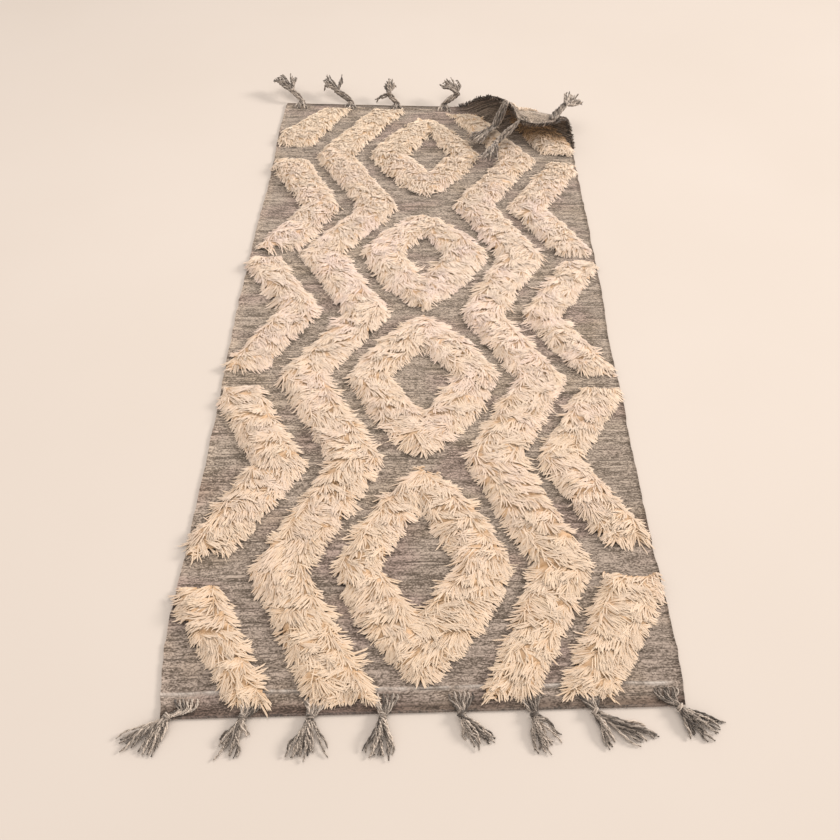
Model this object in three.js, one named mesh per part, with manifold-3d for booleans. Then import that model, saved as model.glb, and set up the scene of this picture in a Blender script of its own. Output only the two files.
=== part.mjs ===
// A wool kilim runner with fields of knotted pile and tasselled ends, lying on a floor.
// Millimetres, Z up. X runs across the rug, Y runs along it, and the underside lies on Z = 0.
// The origin is the middle of the rug. The corner at +X +Y has curled up off the floor.

import * as THREE from "three";
import { mergeVertices } from "three/addons/utils/BufferGeometryUtils.js";
import Module from "manifold-3d";

const wasm = await Module();
wasm.setup();

// Ground cloth
const clothWidth = 700;
const clothLength = 1500;
const clothThickness = 4;
const halfWidth = clothWidth / 2;
const halfLength = clothLength / 2;
// The right selvedge is shorter than the left one: share of the length lost at each end.
const sideTaper = 0.0158;
// Uneven selvedges: how far the cloth's sides lie from its middle line.
const selvedges = [
  { along: -750, left: 334, right: 348 },
  { along: -690, left: 345, right: 353 },
  { along: -630, left: 351, right: 353 },
  { along: -540, left: 350, right: 350 },
  { along: -345, left: 349, right: 347 },
  { along: -220, left: 351, right: 348 },
  { along: -70, left: 354, right: 346 },
  { along: 40, left: 355, right: 350 },
  { along: 270, left: 352, right: 350 },
  { along: 410, left: 348, right: 350 },
  { along: 645, left: 350, right: 350 },
  { along: 750, left: 346, right: 350 },
];
// Rounded hem roll: top of the cloth at a distance from its end.
const hemProfile = [
  { fromEnd: 0, top: 4.4 },
  { fromEnd: 12, top: 5.4 },
  { fromEnd: 20, top: clothThickness },
];

// Curled corner, in sections across the rug: where the cloth lifts off the floor, the radius
// it rolls to, and how far the roll draws the hem in sideways.
const curlSections = [
  { across: 40, liftOff: 748, radius: 42, drawnIn: 0 },
  { across: 75, liftOff: 742, radius: 42, drawnIn: 0 },
  { across: 105, liftOff: 712, radius: 42, drawnIn: 0 },
  { across: 140, liftOff: 672, radius: 42, drawnIn: 0 },
  { across: 175, liftOff: 636, radius: 43, drawnIn: 0 },
  { across: 203, liftOff: 614, radius: 42, drawnIn: 0 },
  { across: 220, liftOff: 597, radius: 40, drawnIn: 4 },
  { across: 242, liftOff: 592, radius: 40, drawnIn: 12 },
  { across: 275, liftOff: 586, radius: 39.5, drawnIn: 24 },
  { across: 310, liftOff: 581, radius: 38, drawnIn: 36 },
  { across: 350, liftOff: 577, radius: 36, drawnIn: 50 },
];
// Arc length over which a roll draws in by its section's value.
const drawnInLength = 125;
const curlColumns = curlSections.slice(1).flatMap((row, i) => {
  const from = curlSections[i].across;
  return [from, (from + row.across) / 2];
});
const curlShareMargin = 0.02;
// Rows across the cloth: where they become fine, and their pitch before and after that.
const curlStart = 544;
const flatStation = 70;
const curledStation = 7.75;
// The hem is woven short towards the curled corner.
const cornerShort = { fromAcross: 230, fromAlong: 450, depth: 38 };

// Pile
const pileGap = 0.3;
const curledPileGap = 1.4;
const curledMargin = 25;
// Height of a pile slab over its underside, by share of its width in from the edge.
const pileProfile = [
  { share: 0, rise: 3 },
  { share: 0.17, rise: 10 },
  { share: 0.5, rise: 13 },
];
const pileLump = 2.4;
const rimUnevenness = 2.5;
const rimLock = { every: 8, reach: 8 };
const bandStation = 18;
const diamondStations = 36;
const pileEdge = 347;

// Diamonds down the middle, outer outline and the bare diamond inside, along the rug.
const diamonds = [
  { name: "pile_diamond_1", across: 6, far: -363, mid: -542, near: -717, half: 130,
    holeFar: -443, holeNear: -607, holeHalf: 48 },
  { name: "pile_diamond_2", across: 4, far: -9, mid: -168, near: -343, half: 132,
    holeFar: -107, holeNear: -243, holeHalf: 47 },
  { name: "pile_diamond_3", across: 2, far: 303, mid: 168, near: 9, half: 127,
    holeFar: 205, holeNear: 107, holeHalf: 38 },
  { name: "pile_diamond_4", across: 2, far: 688, mid: 525, near: 368, half: 125,
    holeFar: 597, holeNear: 473, holeHalf: 45 },
];
const outerRoundness = 1.3;
const bareRoundness = 1.05;
// No locks stand out where a diamond comes to its tips.
const tipSpan = 0.4;

// Zigzags beside the diamonds: middle and half width of the band where it turns.
const zigzags = [
  {
    name: "pile_zigzag_left",
    turns: [
      { along: -726, centre: -100, half: 45 },
      { along: -545, centre: -207, half: 44 },
      { along: -350, centre: -103, half: 46 },
      { along: -170, centre: -212, half: 46 },
      { along: -7, centre: -105, half: 47 },
      { along: 168, centre: -207, half: 45 },
      { along: 322, centre: -96, half: 44 },
      { along: 517, centre: -208, half: 47 },
      { along: 722, centre: -89, half: 41 },
    ],
  },
  {
    name: "pile_zigzag_right",
    turns: [
      { along: -726, centre: 120, half: 34 },
      { along: -543, centre: 211, half: 45 },
      { along: -350, centre: 118, half: 49 },
      { along: -173, centre: 211, half: 46 },
      { along: -5, centre: 112, half: 42 },
      { along: 163, centre: 200, half: 47 },
      { along: 335, centre: 108, half: 45 },
      { along: 515, centre: 218, half: 40 },
      { along: 620, centre: 150, half: 38 },
      { along: 708, centre: 95, half: 36, pitch: 8 },
    ],
  },
];

// Chevrons and end arms at the side edges, measured out from the middle line. Tip and back are
// the inner and outer outline at the waist, and both run outwards by their slopes from there.
const sideFields = [
  { name: "pile_arm_left_far", side: -1, near: 557, waist: 735, far: 722, tip: 182, back: 240,
    innerSlope: 0.45, outerSlope: 0.83 },
  { name: "pile_chevron_left_1", side: -1, near: 183, waist: 320, far: 505, tip: 178, back: 262,
    innerSlope: 0.5, outerSlope: 0.6 },
  { name: "pile_chevron_left_2", side: -1, near: -153, waist: -2, far: 158, tip: 190, back: 272,
    innerSlope: 0.61, outerSlope: 0.6 },
  { name: "pile_chevron_left_3", side: -1, near: -517, waist: -356, far: -188, tip: 180, back: 277,
    innerSlope: 0.62, outerSlope: 0.56 },
  { name: "pile_arm_left_near", side: -1, near: -726, waist: -740, far: -568, tip: 192, back: 250,
    innerSlope: 0.53, outerSlope: 0.7 },
  { name: "pile_arm_right_far", side: 1, near: 544, waist: 735, far: 722.25, tip: 182, back: 244,
    innerSlope: 0.47, outerSlope: 0.8 },
  { name: "pile_chevron_right_1", side: 1, near: 170, waist: 328, far: 507, tip: 180, back: 268,
    innerSlope: 0.6, outerSlope: 0.55 },
  { name: "pile_chevron_right_2", side: 1, near: -160, waist: -10, far: 155, tip: 186, back: 266,
    innerSlope: 0.62, outerSlope: 0.6 },
  { name: "pile_chevron_right_3", side: 1, near: -507, waist: -350, far: -190, tip: 187, back: 262,
    innerSlope: 0.57, outerSlope: 0.66 },
  { name: "pile_arm_right_near", side: 1, near: -726, waist: -735, far: -556, tip: 187, back: 262,
    innerSlope: 0.45, outerSlope: 0.62 },
];

// Tassels: where the yarns come through the cloth, where their knot sits, and the middle of
// the loose tips, with the width of the fan there. The far ones stand on their stiff loops, and
// the one at the curled corner lies back over the cloth's underside.
const nearTassels = [
  { across: -316, knot: [-325, -769, 6], tips: [-358, -798, 0], fan: 56 },
  { across: -225, knot: [-228, -766, 6], tips: [-243, -806, 0], fan: 48 },
  { across: -138, knot: [-138, -763, 6], tips: [-142, -803, 0], fan: 46 },
  { across: -46, knot: [-48, -760, 6], tips: [-52, -801, 0], fan: 44 },
  { across: 56, knot: [58, -757, 6], tips: [82, -792, 0], fan: 40 },
  { across: 145, knot: [148, -754, 6], tips: [169, -794, 0], fan: 44 },
  { across: 226, knot: [232, -751, 6], tips: [270, -784, 0], fan: 76 },
  { across: 332, knot: [343, -747, 6], tips: [371, -777, 0], fan: 46 },
];
const farTassels = [
  { across: -312, knot: [-333, 784, 26], tips: [-355, 834, 34], fan: 66 },
  { across: -186, knot: [-220, 780, 26], tips: [-236, 828, 35], fan: 54 },
  { across: -70, knot: [-88, 768, 27], tips: [-86, 808, 38], fan: 38 },
  { across: 50, knot: [82, 760, 32], tips: [60, 792, 40], fan: 50 },
  { across: 192, root: 12, clear: 1.8, knot: [167, 606, 34], tips: [112, 558, 26], fan: 38 },
  { across: 230, root: 12, clear: 0.9, knot: [167, 538, 34], tips: [146, 476, 26], fan: 48 },
  { across: 336, root: 16, clear: 0.5, knot: [326, 616, 84], tips: [362, 668, 72], fan: 60,
    underside: true },
];
const tassel = {
  rootWidth: 26, legHalf: 1.6, legThickness: 3, legGap: 0.4,
  nearLegs: 4, nearLeaving: 1.5, farLegs: 2, farLeaving: 6,
  knotRadius: 6, knotHeight: 6, strands: 8, rootHalf: 1.5, tipHalf: 0.9,
  rootThickness: 3.4, tipThickness: 2, arch: 2,
  tipArc: 14, tipUneven: 5, tipLift: 4, bend: 2.5,
};
const yarnTopShare = 0.8;
// Each leg's way over the hem, from its root: distance from the end, and share of its slant.
const legSeats = [
  { fromEnd: 18, slant: 0 },
  { fromEnd: 12, slant: 0.12 },
  { fromEnd: 0, slant: 0.42 },
];

const finish = {
  cloth: new THREE.MeshStandardMaterial({ color: 0x9a8878, roughness: 0.95, metalness: 0 }),
  pile: new THREE.MeshStandardMaterial({ color: 0xe6cdb4, roughness: 0.9, metalness: 0 }),
  tassel: new THREE.MeshStandardMaterial({ color: 0x7d6e63, roughness: 0.92, metalness: 0 }),
};

// Value of one column of a table at a place between its rows, joined by smooth curves.
function smoothBetween(table, column, key, place) {
  const last = table.length - 1;
  const inside = Math.min(Math.max(place, table[0][column]), table[last][column]);
  let i = table.findIndex((row) => row[column] > inside) - 1;
  if (i < 0) i = last - 1;
  const slope = (k) => {
    const a = table[Math.max(k - 1, 0)];
    const b = table[Math.min(k + 1, last)];
    return (b[key] - a[key]) / (b[column] - a[column]);
  };
  const step = table[i + 1][column] - table[i][column];
  const f = (inside - table[i][column]) / step;
  const rise = f * f * (3 - 2 * f);
  const blendStart = f * (1 - f) * (1 - f) * step;
  const blendEnd = -f * f * (1 - f) * step;
  return table[i][key] * (1 - rise) + table[i + 1][key] * rise
    + slope(i) * blendStart + slope(i + 1) * blendEnd;
}

// Value of one column of a table at a place between its rows, joined by straight lines.
function straightBetween(table, column, key, place) {
  const next = table.findIndex((row) => row[column] >= place);
  if (next === 0) return table[0][key];
  if (next < 0) return table[table.length - 1][key];
  const [a, b] = [table[next - 1], table[next]];
  return a[key] + ((b[key] - a[key]) * (place - a[column])) / (b[column] - a[column]);
}

// Distance along the rug at which the cloth leaves the floor.
function liftOffAt(across) {
  if (across < curlSections[0].across) return Infinity;
  return smoothBetween(curlSections, "across", "liftOff", across);
}

// Point of the laid rug, from its place on the flat cloth and a height over its underside.
function lay(across, along, height) {
  const side = across < 0 ? "left" : "right";
  const outline = smoothBetween(selvedges, "along", side, along);
  const shortAcross = Math.max(across - cornerShort.fromAcross, 0) / (halfWidth - cornerShort.fromAcross);
  const shortAlong = Math.max(along - cornerShort.fromAlong, 0) / (halfLength - cornerShort.fromAlong);
  const y = along * (1 - (sideTaper * across) / halfWidth)
    - cornerShort.depth * shortAcross ** 2 * shortAlong;
  const x = across + (outline - halfWidth) * (across / halfWidth) ** 3;
  const liftOff = liftOffAt(across);
  const arc = y - liftOff;
  if (arc <= 0) return new THREE.Vector3(x, y, height);
  const radius = smoothBetween(curlSections, "across", "radius", across);
  const drawnIn = smoothBetween(curlSections, "across", "drawnIn", across);
  const turn = arc / radius;
  return new THREE.Vector3(
    x - drawnIn * (arc / drawnInLength) ** 2,
    liftOff + (radius - height) * Math.sin(turn),
    radius - (radius - height) * Math.cos(turn),
  );
}

// Height of the cloth's top at a place along it.
function clothTop(along) {
  const fromEnd = halfLength - Math.abs(along);
  return straightBetween(hemProfile, "fromEnd", "top", fromEnd);
}

// Repeatable unevenness from -1 to 1, different for each pair of numbers.
function uneven(a, b) {
  const wave = Math.sin(a * 12.9898 + b * 78.233) * 43758.5453;
  return 2 * (wave - Math.floor(wave)) - 1;
}

// Places from start to end, at most one pitch apart.
function places(start, end, pitch) {
  const count = Math.max(1, Math.ceil(Math.abs(end - start) / pitch));
  return Array.from({ length: count + 1 }, (_, i) => start + ((end - start) * i) / count);
}

// Triangles between two lines of points that run the same way and may differ in their steps.
function zip(a, b, faces, turned) {
  let i = 0;
  let j = 0;
  while (i < a.length - 1 || j < b.length - 1) {
    const stepA = j === b.length - 1 || (i < a.length - 1 && a[i + 1].key <= b[j + 1].key);
    const face = stepA ? [a[i].id, a[i + 1].id, b[j].id] : [a[i].id, b[j + 1].id, b[j].id];
    faces.push(...(turned ? face.reverse() : face));
    if (stepA) i += 1;
    else j += 1;
  }
}

function geometryOf(points, faces) {
  const geometry = new THREE.BufferGeometry();
  geometry.setAttribute("position", new THREE.Float32BufferAttribute(points, 3));
  geometry.setIndex(faces);
  geometry.computeVertexNormals();
  return geometry;
}

// Closed body from rows of points, each row with a top line and a bottom line of the same ends.
function slab(rows, closed) {
  const points = [];
  const faces = [];
  const place = (line) =>
    line.map(({ across, along, height, key }) => {
      points.push(...lay(across, along, height).toArray());
      return { id: points.length / 3 - 1, key };
    });
  const laid = rows.map((row) => ({ top: place(row.top), bottom: place(row.bottom) }));
  const count = closed ? laid.length : laid.length - 1;
  for (let k = 0; k < count; k += 1) {
    const here = laid[k];
    const next = laid[(k + 1) % laid.length];
    zip(here.top, next.top, faces, false);
    zip(here.bottom, next.bottom, faces, true);
    const [h0, n0, hb0, nb0] = [here.top[0].id, next.top[0].id, here.bottom[0].id, next.bottom[0].id];
    faces.push(hb0, h0, n0, hb0, n0, nb0);
    const [h1, n1, hb1, nb1] = [here.top, next.top, here.bottom, next.bottom].map((l) => l.at(-1).id);
    faces.push(hb1, n1, h1, hb1, nb1, n1);
  }
  if (!closed) {
    zip(laid[0].bottom, laid[0].top, faces, false);
    zip(laid.at(-1).bottom, laid.at(-1).top, faces, true);
  }
  return geometryOf(points, faces);
}

// The ground cloth: few columns where it lies flat, and many where it curls.
function groundCloth() {
  const hemRows = hemProfile.map((row) => halfLength - row.fromEnd).reverse();
  const flatRows = places(-hemRows[0], curlStart - curledStation, flatStation);
  const curledRows = places(curlStart, hemRows[0], curledStation);
  const nearHem = hemRows.slice(1).reverse().map((along) => -along);
  const alongs = [...nearHem, ...flatRows, ...curledRows, ...hemRows.slice(1)];
  const acrosses = (along) =>
    along >= curlStart ? [-halfWidth, ...curlColumns, halfWidth] : [-halfWidth, halfWidth];
  const line = (along, height) => acrosses(along).map((across) => ({ across, along, height, key: across }));
  return slab(alongs.map((along) => ({ top: line(along, clothTop(along)), bottom: line(along, 0) })), false);
}

// One row of a pile slab between its two edges, with a lock reaching out now and then.
function pileRow(from, to, station, seed, lockable) {
  const width = Math.hypot(to.across - from.across, to.along - from.along);
  const curled = to.along > liftOffAt(to.across) - curledMargin;
  const low = clothThickness + (curled ? curledPileGap : pileGap);
  const reach = (rim) => {
    const lock = lockable && (station + 3 * rim) % rimLock.every === 0;
    return (lock ? rimLock.reach : rimUnevenness * uneven(station, seed + rim)) / width;
  };
  const shoulder = pileProfile[1].share;
  const curlShares = curlColumns.map((across) => (across - from.across) / (to.across - from.across))
    .filter((share) => share > curlShareMargin && share < 1 - curlShareMargin);
  const inner = curled ? curlShares : [shoulder, 0.5, 1 - shoulder];
  const point = (share, key, height) => ({
    across: from.across + (to.across - from.across) * share,
    along: from.along + (to.along - from.along) * share,
    height,
    key,
  });
  const edge = (share, rise) => point(share, Math.round(share), low + rise);
  const crown = inner.map((share, i) => {
    const rise = straightBetween(pileProfile, "share", "rise", Math.min(share, 1 - share));
    return point(share, share, low + rise + pileLump * uneven(station + 0.5, seed + i));
  });
  const [first, last] = [-reach(0), 1 + reach(1)];
  const seated = curled ? inner.map((share) => point(share, share, low)) : [];
  return {
    top: [edge(first, pileProfile[0].rise), ...crown, edge(last, pileProfile[0].rise)],
    bottom: [edge(first, 0), ...seated, edge(last, 0)],
  };
}

function diamondRing(field, seed) {
  const bare = { ...field, far: field.holeFar, near: field.holeNear, half: field.holeHalf };
  const edge = (outline, roundness, angle) => {
    const bend = (value) => Math.sign(value) * Math.abs(value) ** (2 / roundness);
    const reach = Math.sin(angle) > 0 ? outline.far - field.mid : field.mid - outline.near;
    return {
      across: field.across + outline.half * bend(Math.cos(angle)),
      along: field.mid + reach * bend(Math.sin(angle)),
    };
  };
  const rows = Array.from({ length: diamondStations }, (_, station) => {
    const angle = (2 * Math.PI * station) / diamondStations;
    const nearTip = Math.abs(Math.cos(angle)) < tipSpan;
    const [from, to] = [edge(bare, bareRoundness, angle), edge(field, outerRoundness, angle)];
    return pileRow(from, to, station, seed, !nearTip);
  });
  return slab(rows, true);
}

function zigzagBand({ turns }, seed) {
  const alongs = turns.slice(1).flatMap((turn, i) =>
    places(turns[i].along, turn.along, turn.pitch ?? bandStation).slice(i ? 1 : 0));
  const rows = alongs.map((along, station) => {
    const centre = straightBetween(turns, "along", "centre", along);
    const half = straightBetween(turns, "along", "half", along);
    const lockable = station > 1 && station < alongs.length - 2;
    const [from, to] = [centre - half, centre + half];
    return pileRow({ across: from, along }, { across: to, along }, station, seed, lockable);
  });
  return slab(rows, false);
}

function sideField(field, seed) {
  const curled = field.side > 0 && field.near >= curlStart;
  const waist = Math.min(Math.max(field.waist, field.near), field.far);
  const pitch = curled ? curledStation : bandStation;
  const alongs = waist < field.far
    ? [...places(field.near, waist, pitch), ...places(waist, field.far, pitch).slice(1)]
    : places(field.near, field.far, pitch);
  const rows = alongs.map((along, station) => {
    const away = Math.abs(along - field.waist);
    const inner = { across: field.side * (field.tip + field.innerSlope * away), along };
    const outer = { across: field.side * Math.min(pileEdge, field.back + field.outerSlope * away), along };
    const [from, to] = field.side > 0 ? [inner, outer] : [outer, inner];
    const lockable = !curled && station > 0 && station < alongs.length - 1;
    return pileRow(from, to, station, seed, lockable);
  });
  return slab(rows, false);
}

// Solid from indexed points, for joining.
function solidFrom(points, faces) {
  const vertProperties = new Float32Array(points);
  return new wasm.Manifold(new wasm.Mesh({ numProp: 3, vertProperties, triVerts: new Uint32Array(faces) }));
}

// A yarn of four sides: its path runs along the middle of its underside.
function yarn(path, side) {
  const points = [];
  const faces = [];
  path.forEach(({ at, half, thickness }, k) => {
    const before = path[Math.max(k - 1, 0)].at;
    const after = path[Math.min(k + 1, path.length - 1)].at;
    const up = side.clone().cross(after.clone().sub(before).normalize()).normalize();
    const corner = (s, share, rise) =>
      at.clone().addScaledVector(side, s * half * share).addScaledVector(up, rise).toArray();
    points.push(...corner(-1, 1, 0), ...corner(1, 1, 0));
    points.push(...corner(1, yarnTopShare, thickness), ...corner(-1, yarnTopShare, thickness));
  });
  for (let k = 0; k < path.length - 1; k += 1) {
    for (let j = 0; j < 4; j += 1) {
      const [a, b] = [4 * k + j, 4 * k + ((j + 1) % 4)];
      faces.push(a, a + 4, b + 4, a, b + 4, b);
    }
  }
  const end = 4 * (path.length - 1);
  faces.push(0, 1, 2, 0, 2, 3, end, end + 2, end + 1, end, end + 3, end + 2);
  return solidFrom(points, faces);
}

// Yarns from the cloth to a knot, and loose strands fanned out beyond it, fused at the knot.
function tasselSolid(row, end, seed) {
  const { across, knot, tips, fan, underside, root = tassel.rootWidth, clear = tassel.legGap } = row;
  const centre = new THREE.Vector3(...knot);
  const tipMiddle = new THREE.Vector3(...tips);
  const lying = end < 0;
  const ball = new THREE.SphereGeometry(1, 6, 4);
  ball.deleteAttribute("normal");
  ball.deleteAttribute("uv");
  ball.rotateX(Math.PI / 2);
  ball.scale(tassel.knotRadius, tassel.knotRadius, tassel.knotHeight);
  ball.translate(centre.x, centre.y, centre.z);
  const closed = mergeVertices(ball);
  let solid = solidFrom(closed.attributes.position.array, closed.index.array);

  const legs = lying ? tassel.nearLegs : tassel.farLegs;
  const leave = lying ? tassel.nearLeaving : tassel.farLeaving;
  for (let i = 0; i < legs; i += 1) {
    const from = across + root * (i / (legs - 1) - 0.5);
    const leg = { half: tassel.legHalf, thickness: tassel.legThickness };
    const seat = (place, fromEnd) => {
      const along = end * (halfLength - fromEnd);
      return lay(place, along, underside ? -clear : clothTop(along) + clear);
    };
    const path = legSeats.map(({ fromEnd, slant }) =>
      ({ ...leg, at: seat(from + (across - from) * slant, fromEnd) }));
    if (underside) path.reverse();
    const rim = seat(from + 1, 0).sub(seat(from - 1, 0)).normalize();
    const leaving = path[2].at.clone().sub(path[1].at).normalize();
    path.push({ ...leg, at: path[2].at.clone().addScaledVector(leaving, leave) });
    path.push({ ...leg, at: centre.clone().add(new THREE.Vector3(0, 0, -tassel.legThickness / 2)) });
    solid = solid.add(yarn(path, rim.multiplyScalar(end)));
  }

  const heading = tipMiddle.clone().sub(centre).setZ(0).normalize();
  const sideways = heading.clone().cross(new THREE.Vector3(0, 0, 1));
  for (let i = 0; i < tassel.strands; i += 1) {
    const share = i / (tassel.strands - 1) - 0.5;
    const tip = tipMiddle.clone()
      .addScaledVector(sideways, fan * share)
      .addScaledVector(heading, tassel.tipUneven * uneven(i, seed) - tassel.tipArc * share * share);
    if (!lying) tip.z += tassel.tipLift * uneven(i, seed + 9);
    const start = centre.clone();
    start.z = lying ? 1 : centre.z - tassel.rootThickness / 2;
    const middle = start.clone().lerp(tip, 0.5);
    middle.addScaledVector(sideways, tassel.bend * uneven(i, seed + 5));
    middle.z = lying ? 0 : middle.z + tassel.arch;
    const direction = tip.clone().sub(start).setZ(0).normalize();
    const side = direction.cross(new THREE.Vector3(0, 0, 1));
    const half = (f) => tassel.rootHalf + (tassel.tipHalf - tassel.rootHalf) * f;
    const thickness = (f) => tassel.rootThickness + (tassel.tipThickness - tassel.rootThickness) * f;
    const path = [
      { at: start, half: half(0), thickness: thickness(0) },
      { at: middle, half: half(0.5), thickness: thickness(0.5) },
      { at: tip, half: half(1), thickness: thickness(1) },
    ];
    solid = solid.add(yarn(path, side));
  }
  const mesh = solid.getMesh();
  return geometryOf(Array.from(mesh.vertProperties), Array.from(mesh.triVerts));
}

function named(name, geometry, material) {
  const mesh = new THREE.Mesh(geometry, material);
  mesh.name = name;
  return mesh;
}

const kilim = new THREE.Group();
kilim.add(named("ground_cloth", groundCloth(), finish.cloth));
diamonds.forEach((field, i) => kilim.add(named(field.name, diamondRing(field, 10 + i), finish.pile)));
zigzags.forEach((field, i) => kilim.add(named(field.name, zigzagBand(field, 20 + i), finish.pile)));
sideFields.forEach((field, i) => kilim.add(named(field.name, sideField(field, 30 + i), finish.pile)));
nearTassels.forEach((row, i) =>
  kilim.add(named(`tassel_near_${i + 1}`, tasselSolid(row, -1, 50 + i), finish.tassel)));
farTassels.forEach((row, i) =>
  kilim.add(named(`tassel_far_${i + 1}`, tasselSolid(row, 1, 70 + i), finish.tassel)));

export default kilim;
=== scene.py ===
import math

import bpy
import numpy as np
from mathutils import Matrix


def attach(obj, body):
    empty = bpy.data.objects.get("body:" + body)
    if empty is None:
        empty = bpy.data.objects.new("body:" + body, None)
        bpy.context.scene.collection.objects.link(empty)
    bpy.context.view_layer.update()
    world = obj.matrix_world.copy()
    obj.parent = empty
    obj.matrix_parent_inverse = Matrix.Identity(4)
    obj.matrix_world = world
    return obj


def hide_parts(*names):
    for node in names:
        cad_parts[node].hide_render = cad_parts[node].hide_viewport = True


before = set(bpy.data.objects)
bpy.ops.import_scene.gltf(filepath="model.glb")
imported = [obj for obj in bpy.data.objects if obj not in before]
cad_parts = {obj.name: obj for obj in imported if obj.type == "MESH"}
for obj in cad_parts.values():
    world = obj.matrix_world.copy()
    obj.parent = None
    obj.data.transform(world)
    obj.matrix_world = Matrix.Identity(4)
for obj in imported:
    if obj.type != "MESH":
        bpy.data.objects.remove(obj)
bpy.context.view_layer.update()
millimetre = 0.001

# How the rug lies, in millimetres: across it, along it, and up from its underside
rugShape = {
    "halfWidth": 350.0,
    "halfLength": 750.0,
    "thickness": 4.0,
    "sideTaper": 0.0158,
    "shortCorner": {"fromAcross": 230.0, "fromAlong": 450.0, "depth": 38.0},
    "drawnInLength": 125.0,
    # along, left, right
    "selvedges": [
        (-750, 334, 348), (-690, 345, 353), (-630, 351, 353), (-540, 350, 350),
        (-345, 349, 347), (-220, 351, 348), (-70, 354, 346), (40, 355, 350),
        (270, 352, 350), (410, 348, 350), (645, 350, 350), (750, 346, 350),
    ],
    # across, where it lifts off the floor, radius it rolls to, how far it is drawn in
    "curl": [
        (40, 748, 42, 0), (75, 742, 42, 0), (105, 712, 42, 0), (140, 672, 42, 0),
        (175, 636, 43, 0), (203, 614, 42, 0), (220, 597, 40, 4), (242, 592, 40, 12),
        (275, 586, 39.5, 24), (310, 581, 38, 36), (350, 577, 36, 50),
    ],
    # distance from the end, height of the cloth there
    "hem": [(0, 4.4), (12, 5.4), (20, 4.0)],
}


def smoothColumn(table, column, place):
    # A table's column at these places, joined by smooth curves
    rows = np.array(table, float)
    x, y = rows[:, 0], rows[:, column]
    inside = np.clip(place, x[0], x[-1])
    i = np.clip(np.searchsorted(x, inside, side="right") - 1, 0, len(x) - 2)
    before, after = np.clip(np.arange(len(x)) - 1, 0, None), np.clip(np.arange(len(x)) + 1, None, len(x) - 1)
    slope = (y[after] - y[before]) / (x[after] - x[before])
    step = x[i + 1] - x[i]
    f = (inside - x[i]) / step
    rise = f * f * (3 - 2 * f)
    return (y[i] * (1 - rise) + y[i + 1] * rise
            + slope[i] * f * (1 - f) ** 2 * step - slope[i + 1] * f * f * (1 - f) * step)


def layCloth(across, along, height):
    # Points of the laid rug in millimetres, from places on the flat cloth and heights over its underside
    across, along, height = np.broadcast_arrays(*(np.asarray(a, float) for a in (across, along, height)))
    s = rugShape
    side = np.where(across < 0, smoothColumn(s["selvedges"], 1, along), smoothColumn(s["selvedges"], 2, along))
    x = across + (side - s["halfWidth"]) * (across / s["halfWidth"]) ** 3
    short = s["shortCorner"]
    shortAcross = np.clip(across - short["fromAcross"], 0, None) / (s["halfWidth"] - short["fromAcross"])
    shortAlong = np.clip(along - short["fromAlong"], 0, None) / (s["halfLength"] - short["fromAlong"])
    y = along * (1 - s["sideTaper"] * across / s["halfWidth"]) - short["depth"] * shortAcross ** 2 * shortAlong
    liftOff = np.where(across < s["curl"][0][0], 1e6, smoothColumn(s["curl"], 1, across))
    radius = smoothColumn(s["curl"], 2, across)
    drawnIn = smoothColumn(s["curl"], 3, across)
    arc = np.clip(y - liftOff, 0, None)
    turn = arc / radius
    lifted = arc > 0
    return np.stack([
        np.where(lifted, x - drawnIn * (arc / s["drawnInLength"]) ** 2, x),
        np.where(lifted, liftOff + (radius - height) * np.sin(turn), y),
        np.where(lifted, radius - (radius - height) * np.cos(turn), height),
    ], -1)


def inCurl(across, along, before, over):
    # From 0 before the cloth lifts off the floor to 1 inside the curl
    liftOff = smoothColumn(rugShape["curl"], 1, across)
    return np.clip((along - liftOff + before) / over, 0, 1) * np.clip((across - 50.0) / 50.0, 0, 1)


def clothTop(along):
    hem = np.array(rugShape["hem"], float)
    return np.interp(rugShape["halfLength"] - np.abs(along), hem[:, 0], hem[:, 1])


def softNoise(x, y, seed):
    # Smooth unevenness from -1 to 1 over a grid of one unit
    lattice = np.random.default_rng(seed).uniform(-1, 1, (64, 64))
    x, y = np.asarray(x, float) + 1000.0, np.asarray(y, float) + 1000.0
    i, j = np.floor(x).astype(int), np.floor(y).astype(int)
    fx, fy = x - i, y - j
    fx, fy = fx * fx * (3 - 2 * fx), fy * fy * (3 - 2 * fy)
    at = lambda a, b: lattice[a % 64, b % 64]
    low = at(i, j) * (1 - fx) + at(i + 1, j) * fx
    high = at(i, j + 1) * (1 - fx) + at(i + 1, j + 1) * fx
    return low * (1 - fy) + high * fy


triangleCount = {}


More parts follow.
